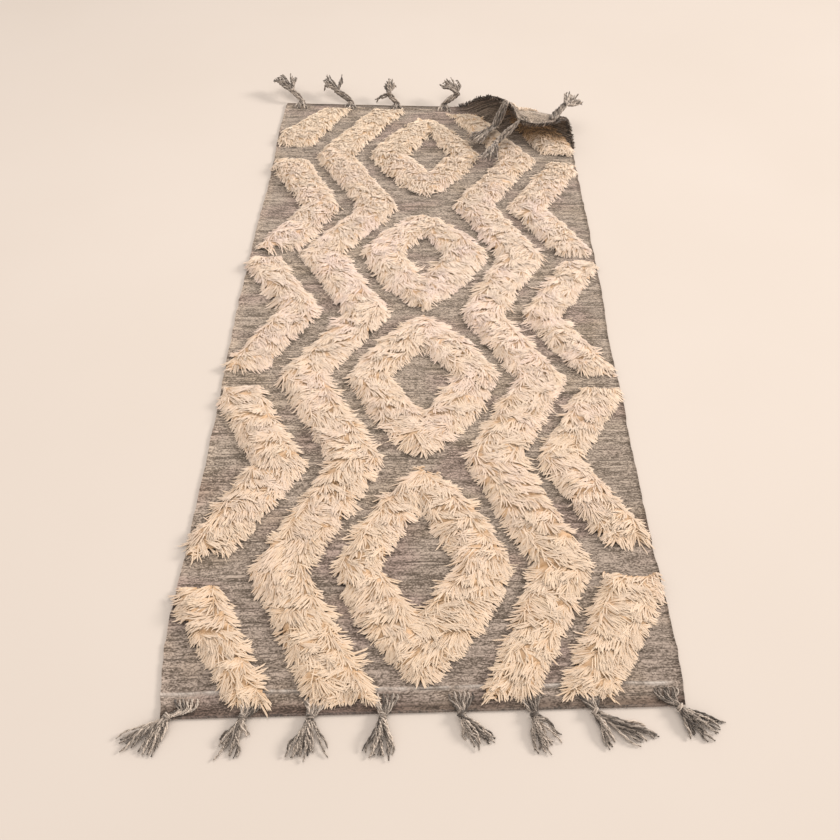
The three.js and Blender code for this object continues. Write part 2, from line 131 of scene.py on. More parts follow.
def meshPiece(name, points, quads, triangles, material, node, attributes, uv=None, normals=None):
    # A smooth mesh from points in millimetres, riding on the rug and standing for its solid
    mesh = bpy.data.meshes.new(name)
    quads = np.asarray(quads, np.int32).reshape(-1, 4)
    triangles = np.asarray(triangles, np.int32).reshape(-1, 3)
    loops = np.concatenate([quads.ravel(), triangles.ravel()])
    totals = np.concatenate([np.full(len(quads), 4), np.full(len(triangles), 3)]).astype(np.int32)
    starts = np.concatenate([[0], np.cumsum(totals)[:-1]]).astype(np.int32)
    mesh.vertices.add(len(points))
    points = np.asarray(points, np.float32)
    points[:, 2] = np.maximum(points[:, 2], 0.0)
    mesh.vertices.foreach_set("co", (points * millimetre).ravel())
    mesh.loops.add(len(loops))
    mesh.loops.foreach_set("vertex_index", loops)
    mesh.polygons.add(len(totals))
    mesh.polygons.foreach_set("loop_start", starts)
    mesh.polygons.foreach_set("loop_total", totals)
    mesh.polygons.foreach_set("use_smooth", np.ones(len(totals), bool))
    for label, values in attributes.items():
        mesh.attributes.new(label, "FLOAT", "POINT").data.foreach_set("value", np.asarray(values, np.float32))
    if uv is not None:
        layer = mesh.uv_layers.new(name="lay")
        layer.data.foreach_set("uv", (np.asarray(uv, np.float32)[loops] * millimetre).ravel())
    mesh.update(calc_edges=True)
    mesh.validate()
    if normals is not None:
        mesh.normals_split_custom_set_from_vertices(normals)
    mesh.materials.append(material)
    piece = bpy.data.objects.new(name, mesh)
    bpy.context.scene.collection.objects.link(piece)
    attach(piece, "root")
    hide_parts(node)
    triangleCount[name] = 2 * len(quads) + len(triangles)
    return piece


# Materials

def addNode(tree, kind, inputs=None, **settings):
    # Outputs of a new shader node; each input is a value or another node's output
    node = tree.nodes.new("ShaderNode" + kind)
    for label, value in settings.items():
        setattr(node, label, value)
    for label, value in (inputs or {}).items():
        if isinstance(value, bpy.types.NodeSocket):
            tree.links.new(value, node.inputs[label])
        else:
            node.inputs[label].default_value = value
    return node.outputs


def mathNode(tree, operation, *values):
    return addNode(tree, "Math", dict(enumerate(values)), operation=operation)[0]


def times(tree, a, b):
    return mathNode(tree, "MULTIPLY", a, b)


def plus(tree, a, b):
    return mathNode(tree, "ADD", a, b)


def mixColour(tree, factor, a, b, blend="MIX"):
    return addNode(tree, "Mix", {0: factor, 6: a, 7: b}, data_type="RGBA", blend_type=blend)[2]


def tinted(tree, factor, tone, tint):
    return mixColour(tree, factor, tone, mixColour(tree, 1.0, tone, tint, "MULTIPLY"))


def noiseNode(tree, place, scale, detail=2.0, roughness=0.5):
    inputs = {"Vector": place, "Scale": scale, "Detail": detail, "Roughness": roughness}
    return addNode(tree, "TexNoise", inputs)["Fac"]


def streaks(tree, place, scales, detail=2.0):
    # Noise with its own scale each way
    stretched = addNode(tree, "VectorMath", {0: place, 1: (*scales, 1)}, operation="MULTIPLY")[0]
    return noiseNode(tree, stretched, 1.0, detail)


def steeper(tree, value, low, high):
    # A mask from 0 at one value to 1 at the other
    return addNode(tree, "MapRange", {"Value": value, "From Min": low, "From Max": high})["Result"]


def towardsEnd(tree, place, full, none):
    # From 1 at one distance along the rug to 0 at another
    return steeper(tree, addNode(tree, "SeparateXYZ", {0: place})[1], none, full)


def attributeOf(tree, name):
    return addNode(tree, "Attribute", attribute_name=name)["Fac"]


def addBump(tree, shader, height, distance, strength):
    bump = addNode(tree, "Bump", {"Height": height, "Distance": distance, "Strength": strength})
    tree.links.new(bump[0], shader.inputs["Normal"])


commonFinish = {"Sheen Roughness": 0.6, "Specular IOR Level": 0.2}


def plainMaterial(name, finish):
    material = bpy.data.materials.new(name)
    material.use_nodes = True
    shader = material.node_tree.nodes["Principled BSDF"]
    values = {"Roughness": finish["roughness"], "Sheen Weight": finish["sheen"], **commonFinish}
    for label, value in values.items():
        shader.inputs[label].default_value = value
    return material, material.node_tree, shader


marl = {
    "wobble": (70.0, 3.7, 1.0),  # scale along a row of weft, step from row to row, detail
    "wobbleShare": 4.5,
    "slant": 0.7,
    "runs": (24.0, 5.1, 2.0),
    "flecks": ((150, 560), 3.0),  # scales across and along the rug, detail
    "bands": ((2.5, 26), 2.0),
    "specks": ((330, 800), 1.0),
    "shares": (0.09, 2.2, 1.6, 0.4, 1.2),  # of twist, flecks, runs, bands and specks
    "contrast": (0.18, 0.82),
    "beadPower": 0.6,
    "beadCurve": 2.6,
}


def marledGroup():
    # Marled two-ply wool lying across the rug: each row of weft has its own run of light and dark
    tree = bpy.data.node_groups.new("marledWeave", "ShaderNodeTree")
    for label, kind in (("Place", "Vector"), ("Row Pitch", "Float"), ("Twists", "Float"),
                        ("Dark", "Color"), ("Light", "Color")):
        tree.interface.new_socket(label, in_out="INPUT", socket_type="NodeSocket" + kind)
    for label, kind in (("Color", "Color"), ("Height", "Float"), ("Bead", "Float")):
        tree.interface.new_socket(label, in_out="OUTPUT", socket_type="NodeSocket" + kind)
    start, end = tree.nodes.new("NodeGroupInput").outputs, tree.nodes.new("NodeGroupOutput").inputs
    split = addNode(tree, "SeparateXYZ", {0: start["Place"]})
    u, v = split[0], mathNode(tree, "DIVIDE", split[1], start["Row Pitch"])
    row = mathNode(tree, "FLOOR", plus(tree, v, 0.5))
    within = mathNode(tree, "SUBTRACT", v, row)

    def onRow(acrossScale, rowStep, detail):
        place = addNode(tree, "CombineXYZ", {0: times(tree, u, acrossScale), 1: times(tree, row, rowStep)})[0]
        return mathNode(tree, "SUBTRACT", noiseNode(tree, place, 1.0, detail), 0.5)

    def overCloth(scales, detail):
        return mathNode(tree, "SUBTRACT", streaks(tree, start["Place"], scales, detail), 0.5)

    # Neighbouring rows twist opposite ways
    handed = mathNode(tree, "SUBTRACT", times(tree, mathNode(tree, "PINGPONG", row, 1.0), 2.0), 1.0)
    slant = times(tree, times(tree, within, marl["slant"]), handed)
    twist = plus(tree, times(tree, u, start["Twists"]), slant)
    twist = plus(tree, twist, times(tree, onRow(*marl["wobble"]), marl["wobbleShare"]))
    twist = mathNode(tree, "SINE", times(tree, twist, 6.283))
    specks = overCloth(*marl["specks"])
    parts = (twist, overCloth(*marl["flecks"]), onRow(*marl["runs"]), overCloth(*marl["bands"]), specks)
    mask = 0.5
    for part, share in zip(parts, marl["shares"]):
        mask = plus(tree, mask, times(tree, part, share))
    tone = mixColour(tree, steeper(tree, mask, *marl["contrast"]), start["Dark"], start["Light"])
    bead = mathNode(tree, "POWER", plus(tree, times(tree, twist, 0.5), 0.5), marl["beadPower"])
    bead = times(tree, bead, mathNode(tree, "COSINE", times(tree, within, marl["beadCurve"])))
    height = plus(tree, bead, times(tree, specks, 0.5))
    for label, value in (("Color", tone), ("Height", height), ("Bead", bead)):
        tree.links.new(value, end[label])
    return tree


groundFinish = {
    "roughness": 0.92,
    "sheen": 0.15,
    "rowPitch": 0.0054,
    "twists": 150.0,
    "dark": (0.108, 0.08, 0.057, 1),
    "light": (0.46, 0.366, 0.292, 1),
    "straw": (0.98, 0.94, 0.85, 1),
    "strawShare": 0.6,
    "plum": (0.92, 0.86, 0.89, 1),
    # The near-end tint is partly the wool's tone, partly painted shade
    "nearEndTintAndShade": (0.81, 0.80, 0.84, 1),
    # The next colour is the painted shade of rib valleys, ply grooves, the curl and rim ends
    "valleyShade": (0.055, 0.039, 0.027, 1),
    # The next colour darkens the band near each end and adds painted shade in the curl and on rim ends
    "hemAndShadeTone": (0.46, 0.42, 0.39, 1),
    "twine": (0.52, 0.455, 0.405, 1),
    "knotBack": (0.74, 0.61, 0.51, 1),
    "beadHeight": 0.00035,
    "bump": 0.9,
}


def groundMaterial():
    finish = groundFinish
    material, tree, shader = plainMaterial("groundWeave", finish)
    place = addNode(tree, "UVMap", uv_map="lay")[0]
    wool = addNode(tree, "Group", {"Place": place, "Row Pitch": finish["rowPitch"], "Twists": finish["twists"],
                                   "Dark": finish["dark"], "Light": finish["light"]}, node_tree=marledGroup())
    patches = times(tree, steeper(tree, streaks(tree, place, (9, 14)), 0.5, 0.68), finish["strawShare"])
    tone = tinted(tree, patches, wool["Color"], finish["straw"])
    tone = tinted(tree, steeper(tree, streaks(tree, place, (6, 11), 1.0), 0.5, 0.62), tone, finish["plum"])
    # The near end is tinted darker: partly the wool's tone, partly painted shade
    tone = tinted(tree, towardsEnd(tree, place, -0.8, -0.3), tone, finish["nearEndTintAndShade"])
    knotted = times(tree, attributeOf(tree, "knotBack"), steeper(tree, wool["Bead"], 0.2, 0.55))
    tone = mixColour(tree, knotted, tone, finish["knotBack"])
    twine = times(tree, attributeOf(tree, "twineRow"), steeper(tree, streaks(tree, place, (30, 14)), 0.38, 0.6))
    tone = mixColour(tree, twine, tone, finish["twine"])
    furrows = plus(tree, times(tree, steeper(tree, streaks(tree, place, (15, 300)), 0.47, 0.6), 0.6), 0.2)
    # Painted shade: the rib valleys, the curl, rim ends and the grooves between ply beads are darkened
    tone = mixColour(tree, times(tree, attributeOf(tree, "valleyAndCurlShade"), furrows), tone, finish["valleyShade"])
    tone = mixColour(tree, times(tree, steeper(tree, wool["Bead"], 0.45, 0.0), 0.15), tone, finish["valleyShade"])
    # The band near each end is darker, and the curl and rim ends get more painted shade
    tone = tinted(tree, attributeOf(tree, "hemBandAndCurlShade"), tone, finish["hemAndShadeTone"])
    tree.links.new(tone, shader.inputs["Base Color"])
    addBump(tree, shader, wool["Height"], finish["beadHeight"], finish["bump"])
    return material


pileFinish = {
    "roughness": 0.88,
    "sheen": 0.3,
    "tip": (0.74, 0.594, 0.482, 1),
    # root is the warm painted shade colour of lock roots, lock sides, partings and the bed; deep is the painted shade
    # inside the curl
    "root": (0.52, 0.29, 0.125, 1),
    "deep": (0.13, 0.085, 0.05, 1),
    "pink": (0.76, 0.597, 0.52, 1),
    # The next two tints are partly the wool's tone, partly painted shade at the near end and painted light at the far
    # end
    "nearEndTintAndShade": (0.68, 0.525, 0.395, 1),
    "farEndTintAndLight": (0.83, 0.665, 0.51, 1),
    "straw": (0.705, 0.54, 0.385, 1),
    "strawShare": 0.8,
    "streak": (0.54, 0.38, 0.25, 1),
    "streakShare": 0.22,
    "fibreHeight": 0.0006,
    "bump": 0.6,
}


def pileMaterial():
    finish = pileFinish
    material, tree, shader = plainMaterial("knottedPile", finish)
    place = addNode(tree, "TexCoord")["Object"]
    fibres = streaks(tree, addNode(tree, "UVMap", uv_map="lay")[0], (1500, 60))
    warm = mixColour(tree, steeper(tree, noiseNode(tree, place, 14.0), 0.46, 0.64), finish["tip"], finish["pink"])
    # Towards the near end the wool is darker and warmer, towards the far end lighter: partly its tone, partly painted
    # shade and painted light
    warm = mixColour(tree, towardsEnd(tree, place, -0.75, 0.1), warm, finish["nearEndTintAndShade"])
    warm = mixColour(tree, towardsEnd(tree, place, 0.65, 0.3), warm, finish["farEndTintAndLight"])
    mixed = plus(tree, times(tree, attributeOf(tree, "lockTone"), 0.5), times(tree, fibres, 0.5))
    straw = times(tree, steeper(tree, mixed, 0.45, 0.85), finish["strawShare"])
    streak = times(tree, steeper(tree, fibres, 0.5, 0.68), finish["streakShare"])
    lined = mixColour(tree, streak, mixColour(tree, straw, warm, finish["straw"]), finish["streak"])
    # Painted shade: low values darken roots, lock sides, partings and the bed to the root colour, and the inside of
    # the curl to the deep colour
    reach = attributeOf(tree, "lockReachAndShade")
    paintedShade = mixColour(tree, steeper(tree, reach, -0.4, 0.1), finish["deep"], finish["root"])
    tree.links.new(mixColour(tree, steeper(tree, reach, 0.0, 0.5), paintedShade, lined), shader.inputs["Base Color"])
    addBump(tree, shader, fibres, finish["fibreHeight"], finish["bump"])
    return material


tasselFinish = {
    "roughness": 0.9,
    "sheen": 0.2,
    "dark": (0.075, 0.056, 0.044, 1),
    "light": (0.60, 0.495, 0.41, 1),
    "fuzzHeight": 0.0005,
    "bump": 0.6,
}


def tasselMaterial():
    finish = tasselFinish
    material, tree, shader = plainMaterial("tasselYarn", finish)
    place = addNode(tree, "TexCoord")["Object"]
    flecks = times(tree, noiseNode(tree, place, 260.0, 3.0, 0.6), 0.4)
    mask = plus(tree, times(tree, attributeOf(tree, "plyTone"), 0.6), flecks)
    tone = mixColour(tree, steeper(tree, mask, 0.2, 0.8), finish["dark"], finish["light"])
    tree.links.new(tone, shader.inputs["Base Color"])
    addBump(tree, shader, noiseNode(tree, place, 1400.0), finish["fuzzHeight"], finish["bump"])
    return material


# Ground cloth

groundWeave = {
    "ribPitch": 5.4,
    "ribHeight": 0.8,
    "swell": 0.35,
    "rowWander": (1.5, 0.5),  # slow and fine
    "edgeWave": 1.6,
    "columnPitch": 16.0,
    "curledColumnPitch": 7.8,
    "undersideStep": 4,
    "hemRow": (14.0, 0.9, 2.5),  # distance from the end, height, width
    "twineRow": (31.0, 0.5, 2.2),
    "rimEnds": 1000,
    "endThickness": 1.4,
    "endReach": (3.0, 11.0),
    # Painted shade amounts for rim ends, for the curl and for its valleys
    "endPaintedShade": 1.3,
    "curlPaintedShade": 0.84,
    "curlValleyShade": 0.9,
}


def stitchRows(upper, lower, faces, turned):
    # Triangles between two lines of (number, place) that run the same way
    i = j = 0
    while i < len(upper) - 1 or j < len(lower) - 1:
        first = j == len(lower) - 1 or (i < len(upper) - 1 and upper[i + 1][1] <= lower[j + 1][1])
        face = (upper[i][0], upper[i + 1][0] if first else lower[j + 1][0], lower[j][0])
        faces.append(face[::-1] if turned else face)
        i, j = (i + 1, j) if first else (i, j + 1)


def gridQuads(rows, columns, start, turned=False):
    r = np.arange(rows - 1)[:, None] * columns
    c = np.arange(columns - 1)[None, :]
    corners = [r + c, r + c + 1, r + c + 1 + columns, r + c + columns]
    return start + np.stack(corners[::-1] if turned else corners, -1).reshape(-1, 4)


def yarnEnds(u, v, angle, reach, heights):
    # Short closed ends of yarn that leave the flat cloth's places and pass through three heights
    n, dx, dy = len(u), np.cos(angle), np.sin(angle)
    rings = []
    for t, height in zip((0.0, 0.5, 1.0), heights):
        middle = layCloth(u + dx * reach * t, v + dy * reach * t, height)
        thick = groundWeave["endThickness"] - 0.5 * t
        for a in (0.0, 2.1, 4.2):
            around = np.stack([-dy * math.cos(a), dx * math.cos(a), np.full(n, math.sin(a))], -1)
            rings.append(middle + thick * around)
    base = 9 * np.arange(n)[:, None, None]
    sides = np.array([[3 * r + i, 3 * r + (i + 1) % 3, 3 * r + 3 + (i + 1) % 3, 3 * r + 3 + i]
                      for r in (0, 1) for i in range(3)])
    ends = np.array([[0, 2, 1], [6, 7, 8]])
    return np.stack(rings, 1).reshape(-1, 3), (base + sides[None]).reshape(-1, 4), (base + ends[None]).reshape(-1, 3)


def rimFuzz():
    # Yarn ends along the rim of the curled corner: mesh, places on the flat cloth, painted shade
    w, rng = groundWeave, np.random.default_rng(41)
    n = w["rimEnds"]
    across = np.concatenate([rng.uniform(80, 350, n), 349.5 - rng.uniform(0, 5, n // 2)])
    along = np.concatenate([749.5 - rng.uniform(0, 9, n), rng.uniform(600, 750, n // 2)])
    total = len(across)
    angle = np.concatenate([np.full(n, 0.5 * math.pi), np.zeros(n // 2)]) + rng.normal(0, 0.6, total)
    low = rng.uniform(0.5, 3.5, total)
    tilt = rng.uniform(-1.5, 7.0, total)
    heights = (low, low + 0.4 * tilt, np.maximum(low + tilt, -1.5))
    points, quads, triangles = yarnEnds(across, along, angle, rng.uniform(*w["endReach"], total), heights)
    # Painted shade on three ends in four
    shade = np.repeat((rng.random(total) < 0.75) * w["endPaintedShade"], 9)
    return points, quads, triangles, np.repeat(np.stack([across, along], -1), 9, axis=0), shade


def buildGround():
    w = groundWeave
    halfWidth, halfLength = rugShape["halfWidth"], rugShape["halfLength"]
    ribs = int(halfLength / w["ribPitch"])
    alongs = np.arange(-2 * ribs, 2 * ribs + 1) * (w["ribPitch"] / 2)
    alongs = np.concatenate([[-halfLength], alongs, [halfLength]])
    firstCurl = rugShape["curl"][0][0]
    flatColumns = np.linspace(-halfWidth, firstCurl, 1 + int((halfWidth + firstCurl) / w["columnPitch"]))
    curledColumns = np.linspace(firstCurl, halfWidth, 1 + int((halfWidth - firstCurl) / w["curledColumnPitch"]))
    columns = np.concatenate([flatColumns[:-1], curledColumns])
    across, along = np.meshgrid(columns, alongs)
    # Ribs of weft with uneven valleys between them
    row = np.rint(alongs / (w["ribPitch"] / 2))[:, None]
    depth = (row % 2 != 0) * np.clip(0.6 + 0.7 * softNoise(across / 50.0, row * 0.9, 3), 0.15, 1.2)
    swell = softNoise(across / 45.0, np.floor(row / 2 + 0.5) * 1.7, 4)
    fromEnd = halfLength - np.abs(along)
    top = clothTop(along) - w["ribHeight"] * depth + w["swell"] * swell
    for place, high, wide in (w["hemRow"], w["twineRow"]):
        top += high * np.exp(-((fromEnd - place) / wide) ** 2)
    slow, fine = w["rowWander"]
    wander = slow * softNoise(across / 80.0, along / 30.0, 5) + fine * softNoise(across / 22.0, along / 9.0, 6)
    drifted = along + wander * np.clip(fromEnd / 20.0, 0, 1)
    side = np.sign(across)
    wave = w["edgeWave"] * softNoise(side * 7.3, along / 16.0, 8) * np.clip((np.abs(across) - 320) / 30, 0, 1)
    waved = across + wave * side
    upper = layCloth(waved, drifted, top)
    # The underside has fewer rows and columns
    count = len(columns)
    rowPick = np.unique(np.append(np.arange(0, len(alongs), w["undersideStep"]), len(alongs) - 1))
    columnPick = np.unique(np.append(np.arange(0, len(flatColumns), 2), np.arange(len(flatColumns) - 1, count)))
    pick = np.ix_(rowPick, columnPick)
    underAcross, underAlong = across[pick], along[pick]
    lower = layCloth(waved[pick], drifted[pick], 0.0)
    start, underCount = across.size, len(columnPick)
    quads = [gridQuads(len(alongs), count, 0), gridQuads(len(rowPick), underCount, start, True)]
    triangles = []
    for column, underColumn, turned in ((0, 0, True), (count - 1, underCount - 1, False)):
        above = [(r * count + column, v) for r, v in enumerate(alongs)]
        below = [(start + r * underCount + underColumn, alongs[n]) for r, n in enumerate(rowPick)]
        stitchRows(above, below, triangles, turned)
    for r, underRow, turned in ((0, 0, False), (len(alongs) - 1, len(rowPick) - 1, True)):
        above = [(r * count + c, u) for c, u in enumerate(columns)]
        below = [(start + underRow * underCount + c, columns[n]) for c, n in enumerate(columnPick)]
        stitchRows(above, below, triangles, turned)
    fuzz, fuzzQuads, fuzzTriangles, fuzzPlaces, fuzzPaintedShade = rimFuzz()
    fuzzStart = start + underAcross.size
    quads.append(fuzzQuads + fuzzStart)
    triangles.extend((fuzzTriangles + fuzzStart).tolist())

    def values(above, below=0.0, onFuzz=0.0):
        return np.concatenate([above.ravel(), np.broadcast_to(below, underAcross.size),
                               np.broadcast_to(onFuzz, len(fuzz))])

    knotted = np.max([field[0](underAcross, underAlong)[0] for field in fields.values()], axis=0)
    # Painted shade: the cloth is darkened inside the curl and just before it lifts off the floor
    paintedShade = w["curlPaintedShade"] * inCurl(across, along, 22.0, 65.0)
    # Painted shade goes into the rib valleys, the curl and most rim ends; the band near each end is darker
    attributes = {
        "valleyAndCurlShade": values(depth + w["curlValleyShade"] * paintedShade, 0.0, fuzzPaintedShade),
        "hemBandAndCurlShade": values(np.maximum(np.clip(1.5 - fromEnd / 12.0, 0, 1), paintedShade), 0.0, fuzzPaintedShade),
        "twineRow": values(np.exp(-((fromEnd - w["twineRow"][0]) / 2.0) ** 4) * (along < 0)),
        "knotBack": values(np.zeros(across.size), np.clip(knotted / 5.0, 0, 1).ravel()),
    }
    flat = np.concatenate([np.stack([across.ravel(), along.ravel()], -1),
                           np.stack([underAcross.ravel(), underAlong.ravel()], -1), fuzzPlaces])
    points = np.concatenate([upper.reshape(-1, 3), lower.reshape(-1, 3), fuzz])
    piece = meshPiece("groundCloth", points, np.concatenate(quads), triangles, groundMaterial(),
                      "ground_cloth", attributes, flat)


# Fields of knotted pile, in millimetres on the flat cloth

diamonds = [
    # solid, across, far, mid, near, half width, then the bare diamond's across, far, near, half width
    ("pile_diamond_1", 6, -363, -542, -717, 130, -2, -435, -612, 52),
    ("pile_diamond_2", 4, -9, -168, -343, 132, 2, -100, -248, 54),
    ("pile_diamond_3", 2, 303, 168, 9, 127, 2, 225, 98, 38),
    ("pile_diamond_4", 2, 688, 525, 368, 125, 13, 615, 464, 45),
]

zigzags = {
    # along, centre, half width
    "pile_zigzag_left": [
        (-738, -97, 47), (-545, -207, 44), (-350, -103, 46), (-170, -212, 46), (-7, -105, 47),
        (168, -207, 45), (322, -96, 44), (517, -208, 47), (724, -89, 41),
    ],
    "pile_zigzag_right": [
        (-738, 118, 36), (-543, 211, 45), (-350, 118, 49), (-173, 211, 46), (-5, 112, 42),
        (163, 200, 47), (335, 108, 45), (515, 218, 40), (620, 150, 38), (712, 93, 36),
    ],
}

sideFields = [
    # solid, side, near, waist, far, tip, back, inner slope, outer slope
    ("pile_arm_left_far", -1, 557, 735, 726, 182, 240, 0.45, 0.83),
    ("pile_chevron_left_1", -1, 183, 320, 505, 178, 262, 0.5, 0.6),
    ("pile_chevron_left_2", -1, -153, -2, 158, 190, 272, 0.61, 0.6),
    ("pile_chevron_left_3", -1, -517, -356, -188, 180, 277, 0.62, 0.56),
    ("pile_arm_left_near", -1, -738, -740, -568, 192, 250, 0.53, 0.7),
    ("pile_arm_right_far", 1, 544, 735, 724, 182, 244, 0.47, 0.8),
    ("pile_chevron_right_1", 1, 170, 328, 507, 180, 268, 0.6, 0.55),
    ("pile_chevron_right_2", 1, -160, -10, 155, 186, 266, 0.62, 0.6),
    ("pile_chevron_right_3", 1, -507, -350, -190, 187, 262, 0.57, 0.66),
    ("pile_arm_right_near", 1, -736, -735, -556, 187, 262, 0.45, 0.62),
]

knots = {
    "acrossPitch": 3.35,
    "alongPitch": 5.35,
    "lockLength": 34.0,
    "shortest": 8.0,
    "lockWidth": 2.6,
    "lockThickness": 1.7,
    "strandsPerLock": 0.32,
    "strandRadius": 0.7,
    "strandLift": 0.3,
    "strandStray": (3.0, 3.5),  # across, along
    "rootStray": (1.1, 1.0),
    "rimHeight": 1.5,
    "crown": 13.0,
    "rimDepth": 11.0,
    "lean": 0.42,
    "flareAcross": 0.95,
    "flareAlong": 0.55,
    "flareFrom": (0.35, 0.6),  # start and width of the change from combed to flared
    "swirl": (0.32, 34.0, 24.0),  # strength, size across and along
    "wander": (0.6, 2.2, 52.0),  # strength, contrast, size across
    "wave": (1.8, 0.8),  # shared by neighbours, each lock's own
    "tuftWidth": 19.0,
    "tuftLength": 15.0,
    "tuftDrift": 0.9,
    "tuftTurn": 0.21,
    "tuftBend": 0.26,
    "tuftLift": 0.6,
    "tuftTone": 0.2,
    "rowRise": 1.7,
    "stray": 0.1,
    "overhang": 6.0,
    "innerOverhang": 3.5,
    "bareEase": 4.0,
    "roundness": (1.34, 0.92),  # of a diamond's outline and of its bare middle
    "raggedness": 4.5,
    "tuftPitch": 21.0,
    "furrowDepth": 3.8,
    "bedPitch": 4.5,
    "bedShare": 0.8,
    "liftStray": 0.22,
    "bendStray": 0.1,
    "rollStray": 0.2,
    "toneStray": 0.2,
    "roundShade": 0.22,
    "sideShade": 0.3,
    # Painted shade inside the curl
    "curlPaintedShade": 0.75,
    "rowFade": (0.6, -250.0, 600.0),  # share, from where along the rug, over what length
    "roughFrom": (100.0, 350.0),
    "farRoughness": 2.4,
    "farShorter": 0.3,
    "tuftClose": 0.15,
    "rowGather": 0.7,
    "rowTilt": 2.2,
    "lumps": ((2.9, 25.0, 17.0), (1.4, 11.0, 8.0)),  # height, size across and along
    "undersideLoops": 0.06,
    "loopHeight": (1.0, 5.0),
    "loopReach": (4.0, 11.0),
    # steps from root to tip, widths there, angles of the corners
    "lockForm": ((0.15, 0.5, 0.9, 1.0), (0.9, 1.0, 0.8), (0.5 * math.pi, 3.5, 5.925)),
    "strandForm": ((0.15, 0.5, 0.85, 1.0), (1.0, 1.0, 0.8), (0.5 * math.pi, 3.665, 5.76)),
}


def raggedAt(u, v, seed):
    return knots["raggedness"] * softNoise(u / 15.0, v / 11.0, seed)


def diamondField(row):
    _, centre, far, mid, near, half, bareCentre, bareFar, bareNear, bareHalf = row

    def level(u, v, middle, top, low, wide, power):
        reach = np.where(v > mid, top - mid, mid - low)
        a, b = np.abs(u - middle) / wide, np.abs(v - mid) / reach
        r = np.maximum(a ** power + b ** power, 1e-9) ** (1 / power)
        slant = wide * reach / np.hypot(wide, reach)
        return r, slant, reach

    def shape(u, v):
        outerRound, bareRound = knots["roundness"]
        outer, outerSlant, reach = level(u, v, centre, far, near, half, outerRound)
        ease = knots["bareEase"]
        inner, innerSlant, _ = level(u, v, bareCentre, bareFar + ease, bareNear - ease, bareHalf + ease, bareRound)
        fromOuter, fromInner = (1 - outer) * outerSlant, (inner - 1) * innerSlant
        edge = (fromInner - fromOuter) / np.maximum(np.abs(fromInner) + np.abs(fromOuter), 1e-6)
        nx = np.sign(u - centre) * np.minimum(np.abs(u - centre) / 12.0, 1) / half
        ny = np.sign(v - mid) * np.minimum(np.abs(v - mid) / 12.0, 1) / reach
        size = np.maximum(np.hypot(nx, ny), 1e-9)
        ragged = raggedAt(u, v, int(near) + 2000)
        return np.minimum(fromOuter + ragged, fromInner + 0.6 * ragged), edge, nx / size, ny / size

    return shape, (centre - half - 4, centre + half + 4, near - 4, far + 4), True


def bandField(edges, near, far):
    def shape(u, v):
        held = np.clip(v, near, far)
        left, right = edges(held)
        a, b = edges(held + 4.0), edges(held - 4.0)
        slant = ((a[0] + a[1]) - (b[0] + b[1])) / 16.0
        across = 1 / np.hypot(1, slant)
        fromLeft, fromRight = (u - left) * across, (right - u) * across
        distance = np.minimum(np.minimum(fromLeft, fromRight), np.minimum(v - near, far - v))
        edge = (fromLeft - fromRight) / np.maximum(np.abs(fromLeft) + np.abs(fromRight), 1e-6)
        return distance + raggedAt(u, v, int(far) + 1500), edge, across, -slant * across

    lines = np.linspace(near, far, 60)
    left, right = edges(lines)
    return shape, (left.min() - 4, right.max() + 4, near - 4, far + 4), False


def zigzagField(turns):
    table = np.array(turns, float)

    def edges(v):
        centre, half = np.interp(v, table[:, 0], table[:, 1]), np.interp(v, table[:, 0], table[:, 2])
        return centre - half, centre + half

    return bandField(edges, table[0, 0], table[-1, 0])


def sideField(row):
    _, side, near, waist, far, tip, back, innerSlope, outerSlope = row

    def edges(v):
        away = np.abs(v - waist)
        inner, outer = tip + innerSlope * away, np.minimum(348.0, back + outerSlope * away)
        return (inner, outer) if side > 0 else (-outer, -inner)

    return bandField(edges, near, far)


def pileHeight(distance):
    k = knots
    return k["rimHeight"] + k["crown"] * (1 - np.exp(-np.clip(distance, 0, None) / k["rimDepth"]))


def lumpsAt(u, v, seed):
    # Soft unevenness of the pile's top, where tufts stand together
    (high, wide, long), (lower, narrow, short) = knots["lumps"]
    return high * softNoise(u / wide, v / long, seed + 5) + lower * softNoise(u / narrow, v / short, seed + 6)


def tuftsAt(u, v, seed):
    # The locks of one tuft share the draws, and each has its own place in it
    wide, long = knots["tuftWidth"], knots["tuftLength"]
    across = u / wide + knots["tuftDrift"] * softNoise(u / 23.0, v / 17.0, seed + 15)
    along = v / long + knots["tuftDrift"] * softNoise(u / 17.0, v / 23.0, seed + 16)
    i, j = np.floor(across).astype(int), np.floor(along).astype(int)
    draws = np.random.default_rng(seed + 17).normal(0, 1, (4, 64, 64))[:, i % 64, j % 64]
    return draws, (across - i - 0.5) * wide, (along - j - 0.5) * long


def tuftRowsAt(u, v, seed):
    # The wool stands in rows of tufts: which row, the furrow at its far side, how marked it is, the place in it
    phase = v / knots["tuftPitch"] + 0.5 * softNoise(u / 38.0, v / 38.0, seed + 9)
    row = np.floor(phase)
    place = phase - row
    strength = np.clip(0.45 + 1.2 * softNoise(u / 26.0 + 1.7 * row, row * 2.3 + 0.5, seed + 7), 0, 1)
    return row, strength * np.clip((place - 0.7) / 0.3, 0, 1), strength, place


